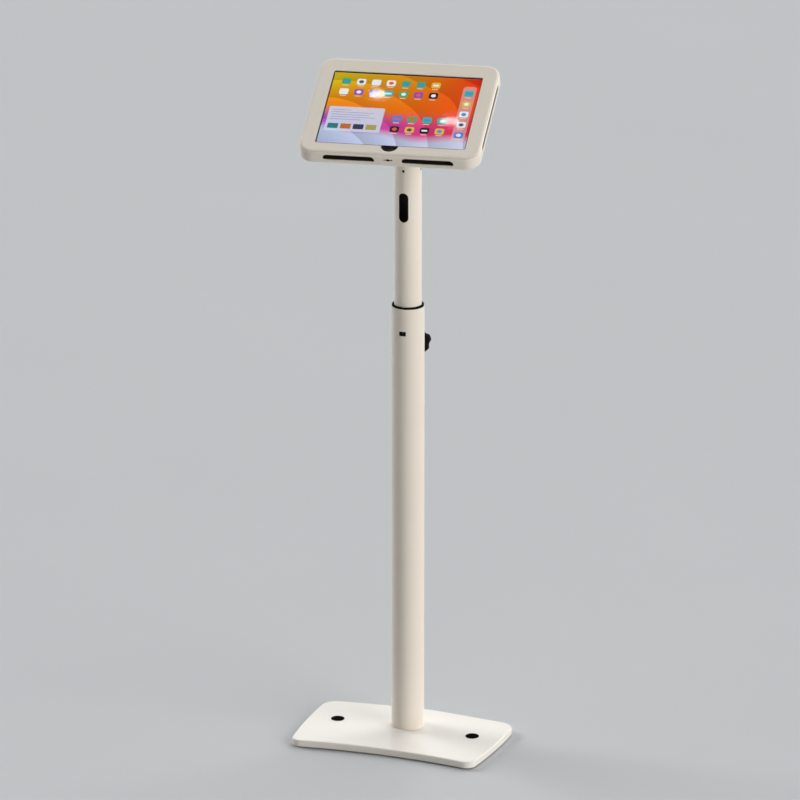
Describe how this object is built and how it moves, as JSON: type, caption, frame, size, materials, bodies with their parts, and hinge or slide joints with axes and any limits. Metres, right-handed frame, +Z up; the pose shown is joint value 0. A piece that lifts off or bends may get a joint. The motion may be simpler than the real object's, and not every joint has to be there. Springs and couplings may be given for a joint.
{
  "type": "tablet floor stand",
  "caption": "Free-standing tablet kiosk: flat base plate, height-adjustable two-stage column with a clamp knob, and a swivelling, tilting enclosure that frames a tablet.",
  "frame": {"origin": "on the floor, on the column's axis: the underside of the base mat", "axes": "+Z up the column, -Y out of the base's hollow front edge, +X to the right seen from the front"},
  "size_m": [0.3756, 0.3088, 1.2645],
  "materials": {
    "white_powder_coat": "satin powder coat",
    "black_plastic": "fine moulded texture",
    "zinc_steel": "bright zinc plate",
    "black_steel": "black oxide",
    "nylon": "natural nylon",
    "cast_aluminium": "machined",
    "rubber_mat": "matt",
    "black_foam": "closed-cell foam",
    "grey_aluminium": "bead-blasted, anodised",
    "display_panel": "lit screen",
    "cover_glass": "polished"
  },
  "bodies": {
    "base": {"base_plate": "white_powder_coat", "base_mat": "rubber_mat", "floor_plug_left": "black_plastic", "floor_plug_right": "black_plastic", "foot_insert": "zinc_steel", "column_screws": "zinc_steel", "lower_tube": "white_powder_coat", "guide_bush": "black_plastic", "clamp_boss": "white_powder_coat"},
    "clamp_tip": {"clamp_pad": "nylon"},
    "clamp_handle": {"clamp_stud": "zinc_steel", "clamp_knob": "black_plastic"},
    "upper_column": {"upper_tube": "white_powder_coat", "slide_bush": "black_plastic", "neck_insert": "cast_aluminium", "neck_screws": "black_steel", "swivel_bolt": "zinc_steel", "swivel_washer": "nylon", "swivel_lock_washer": "zinc_steel", "swivel_nut": "zinc_steel"},
    "yoke": {"swivel_yoke": "white_powder_coat", "tilt_bolt": "zinc_steel", "tilt_nut": "zinc_steel", "tilt_washers": "nylon"},
    "head": {"tilt_bracket": "white_powder_coat", "tilt_spacer": "zinc_steel", "bracket_screws": "zinc_steel", "clinch_nuts": "zinc_steel", "back_panel": "white_powder_coat", "front_frame": "white_powder_coat", "frame_screws": "zinc_steel", "lock_screw": "black_steel", "window_seal": "black_foam", "corner_pad_lower_left": "black_foam", "corner_pad_lower_right": "black_foam", "corner_pad_upper_left": "black_foam", "corner_pad_upper_right": "black_foam", "tablet_case": "grey_aluminium", "tablet_display": "display_panel", "tablet_glass": "cover_glass"}
  },
  "joints": [
    {"name": "height_slide", "type": "slide", "parent": "base", "child": "upper_column", "axis": [0, 0, 1], "range_m": [-0.15, 0.2]},
    {"name": "clamp_feed", "type": "slide", "parent": "base", "child": "clamp_tip", "axis": [0, 1, 0], "range_m": [0, 0.0025]},
    {"name": "knob_turn", "type": "hinge", "parent": "clamp_tip", "child": "clamp_handle", "pos_m": [0, 0.055, 0.7355], "axis": [0, 1, 0], "range_deg": [0, 720]},
    {"name": "head_swivel", "type": "hinge", "parent": "upper_column", "child": "yoke", "pos_m": [0, 0, 1.1215], "axis": [0, 0, 1], "range_deg": [-99.7, 80.3]},
    {"name": "head_tilt", "type": "hinge", "parent": "yoke", "child": "head", "pos_m": [0.008, -0.04682, 1.1592], "axis": [0.9857, 0.1685, 0], "range_deg": [-18, 62]}
  ],
  "couplings": [
    {"joint": "clamp_feed", "follows": "knob_turn", "m_per_rad": 0.00019894}
  ]
}
